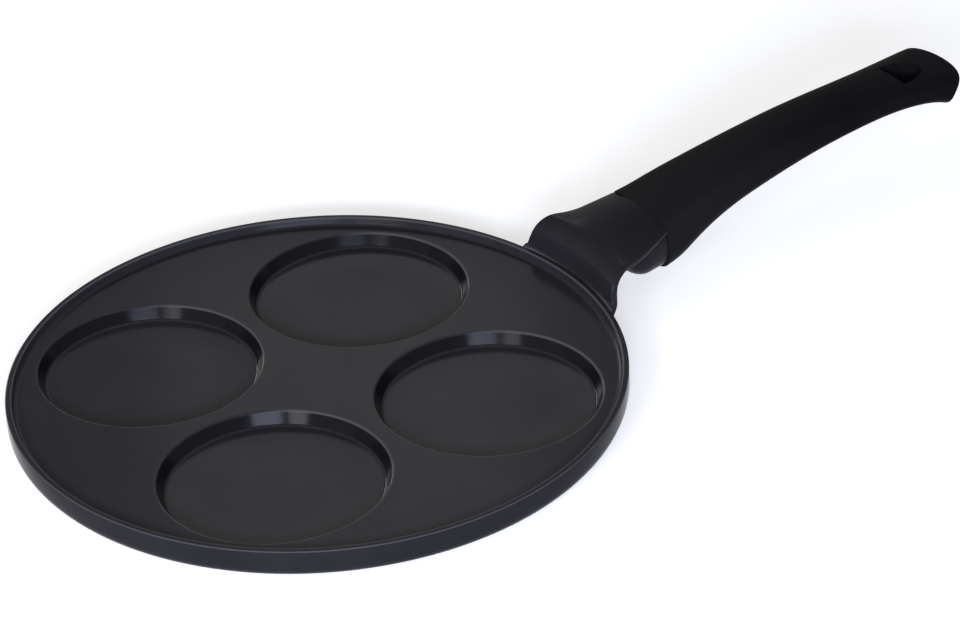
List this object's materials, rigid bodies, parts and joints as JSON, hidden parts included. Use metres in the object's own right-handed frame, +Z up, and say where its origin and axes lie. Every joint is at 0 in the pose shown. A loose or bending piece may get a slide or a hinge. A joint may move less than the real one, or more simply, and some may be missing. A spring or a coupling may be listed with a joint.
{
  "type": "four-well pancake pan",
  "caption": "Round cast pan with shallow round wells for small pancakes or eggs, a raised rim, a cast neck and a curved moulded handle with a hang hole.",
  "frame": {"origin": "centre of the pan's flat base, on the face it rests on", "axes": "+Z up, +X from the pan along the handle to its tail, +Y to the left of the handle"},
  "size_m": [0.4631, 0.26, 0.0554],
  "materials": {
    "nonstick_coat": "satin",
    "handle_moulding": "satin",
    "plated_steel": "satin"
  },
  "bodies": {
    "root": {"pan_casting": "nonstick_coat", "handle": "handle_moulding", "tie_screw": "plated_steel", "flat_washer": "plated_steel", "spring_washer": "plated_steel"}
  },
  "joints": []
}
